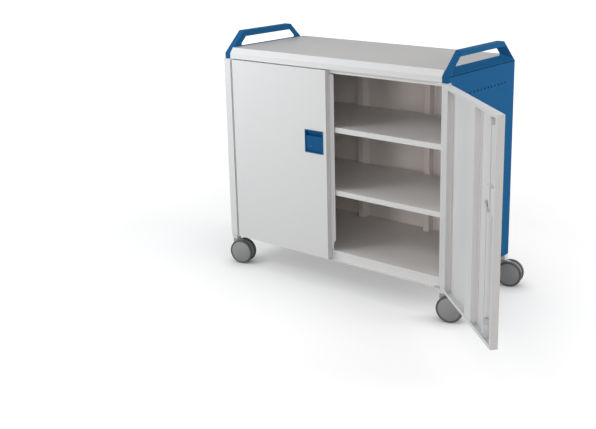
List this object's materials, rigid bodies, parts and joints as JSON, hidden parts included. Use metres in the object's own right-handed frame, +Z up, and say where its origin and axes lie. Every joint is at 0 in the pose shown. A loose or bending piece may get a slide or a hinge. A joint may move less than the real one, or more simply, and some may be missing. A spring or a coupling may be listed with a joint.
{
  "type": "mobile storage cabinet",
  "caption": "Low sheet-steel storage cabinet on swivel castors, with hinged doors, rod locks, shelves, blue end panels and push handles.",
  "frame": {"origin": "on the floor, under the middle of the bounding box with the right door open as stored", "axes": "+X along the width to the cabinet's right as seen from the front, +Y from the doors to the back, +Z up"},
  "size_m": [1.4434, 0.817, 0.9525],
  "materials": {
    "light_coat": "satin light grey powder coat",
    "blue_coat": "satin blue powder coat",
    "blue_plastic": "satin blue moulded plastic",
    "zinc_steel": "zinc plated",
    "wheel_plastic": "grey wheel with a dark tread",
    "hood_plastic": "grey moulded plastic"
  },
  "bodies": {
    "carcass": {"base_tray": "light_coat", "back_panel": "light_coat", "top_board": "light_coat", "top_front_rail": "light_coat", "left_end_panel": "blue_coat", "right_end_panel": "blue_coat", "left_handle": "blue_plastic", "right_handle": "blue_plastic", "left_front_post": "light_coat", "right_front_post": "light_coat", "left_rear_post": "light_coat", "right_rear_post": "light_coat", "left_rear_upright": "light_coat", "right_rear_upright": "light_coat", "left_side_liner": "light_coat", "right_side_liner": "light_coat", "upper_shelf": "light_coat", "lower_shelf": "light_coat", "left_upper_hinge": "zinc_steel", "left_lower_hinge": "zinc_steel", "right_upper_hinge": "zinc_steel", "right_lower_hinge": "zinc_steel", "front_left_castor_socket": "light_coat", "front_right_castor_socket": "light_coat", "rear_left_castor_socket": "light_coat", "rear_right_castor_socket": "light_coat"},
    "left_door": {"left_door_shell": "light_coat", "left_hinge_stile": "light_coat", "left_door_stiffener": "light_coat", "left_pull": "blue_plastic", "left_closing_strip": "light_coat", "left_upper_rod_guide": "zinc_steel", "left_lower_rod_guide": "zinc_steel"},
    "left_lock": {"left_lock_plug": "zinc_steel", "left_lock_cam": "zinc_steel"},
    "left_upper_rod_body": {"left_upper_rod": "zinc_steel"},
    "left_lower_rod_body": {"left_lower_rod": "zinc_steel"},
    "right_door": {"right_door_shell": "light_coat", "right_hinge_stile": "light_coat", "right_door_stiffener": "light_coat", "right_pull": "blue_plastic", "right_upper_rod_guide": "zinc_steel", "right_lower_rod_guide": "zinc_steel"},
    "right_lock": {"right_lock_plug": "zinc_steel", "right_lock_cam": "zinc_steel"},
    "right_upper_rod_body": {"right_upper_rod": "zinc_steel"},
    "right_lower_rod_body": {"right_lower_rod": "zinc_steel"},
    "front_left_castor": {"front_left_castor_hood": "hood_plastic"},
    "front_left_near_wheel_body": {"front_left_near_wheel": "wheel_plastic"},
    "front_left_far_wheel_body": {"front_left_far_wheel": "wheel_plastic"},
    "front_right_castor": {"front_right_castor_hood": "hood_plastic"},
    "front_right_near_wheel_body": {"front_right_near_wheel": "wheel_plastic"},
    "front_right_far_wheel_body": {"front_right_far_wheel": "wheel_plastic"},
    "rear_left_castor": {"rear_left_castor_hood": "hood_plastic"},
    "rear_left_near_wheel_body": {"rear_left_near_wheel": "wheel_plastic"},
    "rear_left_far_wheel_body": {"rear_left_far_wheel": "wheel_plastic"},
    "rear_right_castor": {"rear_right_castor_hood": "hood_plastic"},
    "rear_right_near_wheel_body": {"rear_right_near_wheel": "wheel_plastic"},
    "rear_right_far_wheel_body": {"rear_right_far_wheel": "wheel_plastic"}
  },
  "joints": [
    {"name": "left_door_swing", "type": "hinge", "parent": "carcass", "child": "left_door", "pos_m": [-0.70004, -0.07108, 0.4855], "axis": [0, 0, -1], "range_deg": [0, 175]},
    {"name": "right_door_swing", "type": "hinge", "parent": "carcass", "child": "right_door", "pos_m": [0.32296, -0.07108, 0.4855], "axis": [0, 0, 1], "range_deg": [-140, 35]},
    {"name": "left_lock_turn", "type": "hinge", "parent": "left_door", "child": "left_lock", "pos_m": [-0.26454, -0.07108, 0.557], "axis": [0, -1, 0], "range_deg": [0, 90]},
    {"name": "left_upper_rod_slide", "type": "slide", "parent": "left_door", "child": "left_upper_rod_body", "axis": [0, 0, 1], "range_m": [0, 0.01979]},
    {"name": "left_lower_rod_slide", "type": "slide", "parent": "left_door", "child": "left_lower_rod_body", "axis": [0, 0, -1], "range_m": [0, 0.0198]},
    {"name": "right_lock_turn", "type": "hinge", "parent": "right_door", "child": "right_lock", "pos_m": [0.66461, -0.34144, 0.557], "axis": [-0.6428, -0.766, 0], "range_deg": [0, 90]},
    {"name": "right_upper_rod_slide", "type": "slide", "parent": "right_door", "child": "right_upper_rod_body", "axis": [0, 0, 1], "range_m": [0, 0.01979]},
    {"name": "right_lower_rod_slide", "type": "slide", "parent": "right_door", "child": "right_lower_rod_body", "axis": [0, 0, -1], "range_m": [0, 0.0198]},
    {"name": "front_left_castor_turn", "type": "hinge", "parent": "carcass", "child": "front_left_castor", "pos_m": [-0.69554, -0.06358, 0.105], "axis": [0, 0, 1], "continuous": true},
    {"name": "front_left_near_wheel_roll", "type": "hinge", "parent": "front_left_castor", "child": "front_left_near_wheel_body", "pos_m": [-0.66837, -0.05681, 0.04976], "axis": [-0.2419, 0.9703, 0], "continuous": true},
    {"name": "front_left_far_wheel_roll", "type": "hinge", "parent": "front_left_castor", "child": "front_left_far_wheel_body", "pos_m": [-0.66837, -0.05681, 0.04976], "axis": [-0.2419, 0.9703, 0], "continuous": true},
    {"name": "front_right_castor_turn", "type": "hinge", "parent": "carcass", "child": "front_right_castor", "pos_m": [0.31846, -0.06358, 0.105], "axis": [0, 0, 1], "continuous": true},
    {"name": "front_right_near_wheel_roll", "type": "hinge", "parent": "front_right_castor", "child": "front_right_near_wheel_body", "pos_m": [0.34563, -0.05681, 0.04976], "axis": [-0.2419, 0.9703, 0], "continuous": true},
    {"name": "front_right_far_wheel_roll", "type": "hinge", "parent": "front_right_castor", "child": "front_right_far_wheel_body", "pos_m": [0.34563, -0.05681, 0.04976], "axis": [-0.2419, 0.9703, 0], "continuous": true},
    {"name": "rear_left_castor_turn", "type": "hinge", "parent": "carcass", "child": "rear_left_castor", "pos_m": [-0.69554, 0.36342, 0.105], "axis": [0, 0, 1], "continuous": true},
    {"name": "rear_left_near_wheel_roll", "type": "hinge", "parent": "rear_left_castor", "child": "rear_left_near_wheel_body", "pos_m": [-0.66769, 0.36635, 0.04976], "axis": [-0.1045, 0.9945, 0], "continuous": true},
    {"name": "rear_left_far_wheel_roll", "type": "hinge", "parent": "rear_left_castor", "child": "rear_left_far_wheel_body", "pos_m": [-0.66769, 0.36635, 0.04976], "axis": [-0.1045, 0.9945, 0], "continuous": true},
    {"name": "rear_right_castor_turn", "type": "hinge", "parent": "carcass", "child": "rear_right_castor", "pos_m": [0.31846, 0.36342, 0.105], "axis": [0, 0, 1], "continuous": true},
    {"name": "rear_right_near_wheel_roll", "type": "hinge", "parent": "rear_right_castor", "child": "rear_right_near_wheel_body", "pos_m": [0.34563, 0.37019, 0.04976], "axis": [-0.2419, 0.9703, 0], "continuous": true},
    {"name": "rear_right_far_wheel_roll", "type": "hinge", "parent": "rear_right_castor", "child": "rear_right_far_wheel_body", "pos_m": [0.34563, 0.37019, 0.04976], "axis": [-0.2419, 0.9703, 0], "continuous": true}
  ],
  "couplings": [
    {"joint": "left_lock_turn", "follows": "left_upper_rod_slide", "rad_per_m": 79.365},
    {"joint": "left_lower_rod_slide", "follows": "left_upper_rod_slide", "ratio": 1},
    {"joint": "right_lock_turn", "follows": "right_upper_rod_slide", "rad_per_m": 79.365},
    {"joint": "right_lower_rod_slide", "follows": "right_upper_rod_slide", "ratio": 1}
  ]
}
